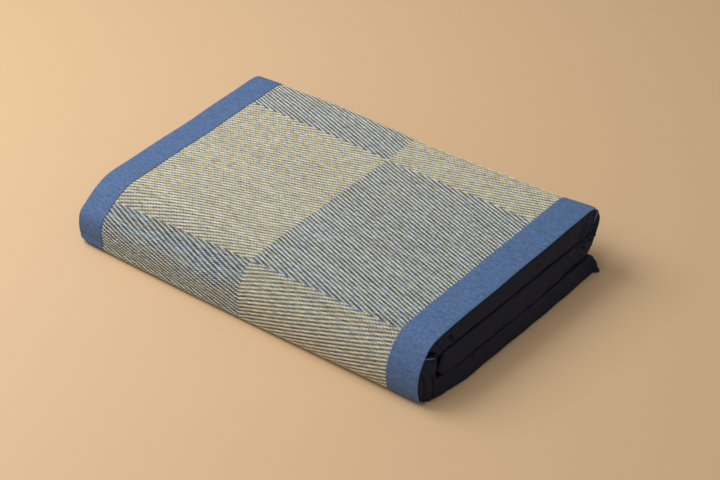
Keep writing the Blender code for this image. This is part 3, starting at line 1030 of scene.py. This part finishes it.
def makeTurnedEdges():
    turn = np.linspace(0, 2 * math.pi, binding["edgeSides"], endpoint=False)[:, None]
    thick = np.array([binding["edgeThick"], 0, 0])
    points, faces = [], []
    for table in turnedEdges:
        rows = np.array(table)
        at = np.linspace(0, len(rows) - 1, binding["edgeRings"])
        x, y, z, half = (np.interp(at, range(len(rows)), rows[:, k]) for k in range(4))
        middle = np.stack([x, y, z], -1) - np.array(fold["place"])
        across = np.cross(np.gradient(middle, axis=0), [1.0, 0.0, 0.0])
        across /= np.linalg.norm(across, axis=1)[:, None]
        rings = []
        for centre, side, width in zip(middle, across, half):
            rings.append(centre + side * width * np.cos(turn) + thick * np.sin(turn))
        newPoints, newFaces = sweep(rings)
        faces += [tuple(i + len(points) for i in face) for face in newFaces]
        points += newPoints.tolist()
    # the turned-in edges carry a painted highlight
    edge = addPiece("bindingTurned", points, faces, [turnedHighlightPaint])
    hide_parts("binding_right")
    return edge


bindingLeft = makeBinding("bindingLeft", -1, "binding_left")
bindingRight = makeBinding("bindingRight", 1, "binding_right")
turnedEdge = makeTurnedEdges()
print("bindings done")

# stage: pale floor, camera as in the photograph, soft light
stage = {
    "floor": (215, 180, 139),
    "floorRoughness": 0.6,
    "floorHalf": 30.0,
    "floorZ": -0.0004,  # just under the mat
    "camAngles": (0.78785185, 0.60096179, -0.10708266),  # azimuth, elevation, roll, in radians
    "camAt": (2.46298131, -1.67241223, 1.9351825),  # from the left end of the front wall
    "sensor": 36.0,  # in mm, as the lens
    "lens": 87.6991135,
    "worldLight": 0.28,
    "worldColour": (1.0, 0.98, 0.96),
    "aim": (0.0, 0.0, 0.05),
}
# name, power, size, place
lights = (
    ("key", 75.0, 2.2, (-2.0, -0.40, 2.5)),
    ("fill", 38.0, 3.0, (-0.3, -1.4, 3.2)),
)


def addFloor():
    half = stage["floorHalf"]
    corners = [(-half, -half, 0), (half, -half, 0), (half, half, 0), (-half, half, 0)]
    mesh = bpy.data.meshes.new("floor")
    mesh.from_pydata(corners, [], [(0, 1, 2, 3)])
    paint = Paint("floorPaint", linear(*stage["floor"]), stage["floorRoughness"])
    mesh.materials.append(paint.material)
    floor = bpy.data.objects.new("floor", mesh)
    bpy.context.scene.collection.objects.link(floor)
    floor.location.z = stage["floorZ"]
    floor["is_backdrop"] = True


def addCamera():
    azimuth, elevation, roll = stage["camAngles"]
    level = math.cos(elevation)
    back = np.array([math.sin(azimuth) * level, -math.cos(azimuth) * level, math.sin(elevation)])
    right = np.cross([0.0, 0.0, 1.0], back)
    right /= np.linalg.norm(right)
    up = np.cross(back, right)
    camRight = right * math.cos(roll) + up * math.sin(roll)
    camUp = -right * math.sin(roll) + up * math.cos(roll)
    camera = bpy.data.objects.new("camera", bpy.data.cameras.new("camera"))
    bpy.context.scene.collection.objects.link(camera)
    pose = Matrix([[camRight[i], camUp[i], back[i]] for i in range(3)]).to_4x4()
    leftEnd = np.array([halfWidth, 0, 0]) + np.array(fold["place"])
    pose.translation = np.array(stage["camAt"]) - leftEnd
    camera.matrix_world = pose
    camera.data.sensor_width = stage["sensor"]
    camera.data.lens = stage["lens"]
    bpy.context.scene.camera = camera


def addLight(name, power, size, place):
    data = bpy.data.lights.new(name, "AREA")
    data.energy = power
    data.size = size
    lamp = bpy.data.objects.new(name, data)
    bpy.context.scene.collection.objects.link(lamp)
    direction = np.array(stage["aim"]) - np.array(place)
    direction /= np.linalg.norm(direction)
    side = np.cross(direction, [0.0, 0.0, 1.0])
    side /= np.linalg.norm(side)
    over = np.cross(side, direction)
    pose = Matrix([[side[i], over[i], -direction[i]] for i in range(3)]).to_4x4()
    pose.translation = place
    lamp.matrix_world = pose
    lamp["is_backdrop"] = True


addFloor()
addCamera()
for light in lights:
    addLight(*light)
world = bpy.data.worlds.new("world")
world.use_nodes = True
background = world.node_tree.nodes["Background"]
background.inputs["Color"].default_value = (*stage["worldColour"], 1.0)
background.inputs["Strength"].default_value = stage["worldLight"]
bpy.context.scene.world = world
bpy.context.scene.view_settings.view_transform = "Standard"
print("stage:", len(lights), "lights")

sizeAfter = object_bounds()
for when, box in (("before", sizeBefore), ("after", sizeAfter)):
    print("size", when, [tuple(round(v, 4) for v in corner) for corner in box])
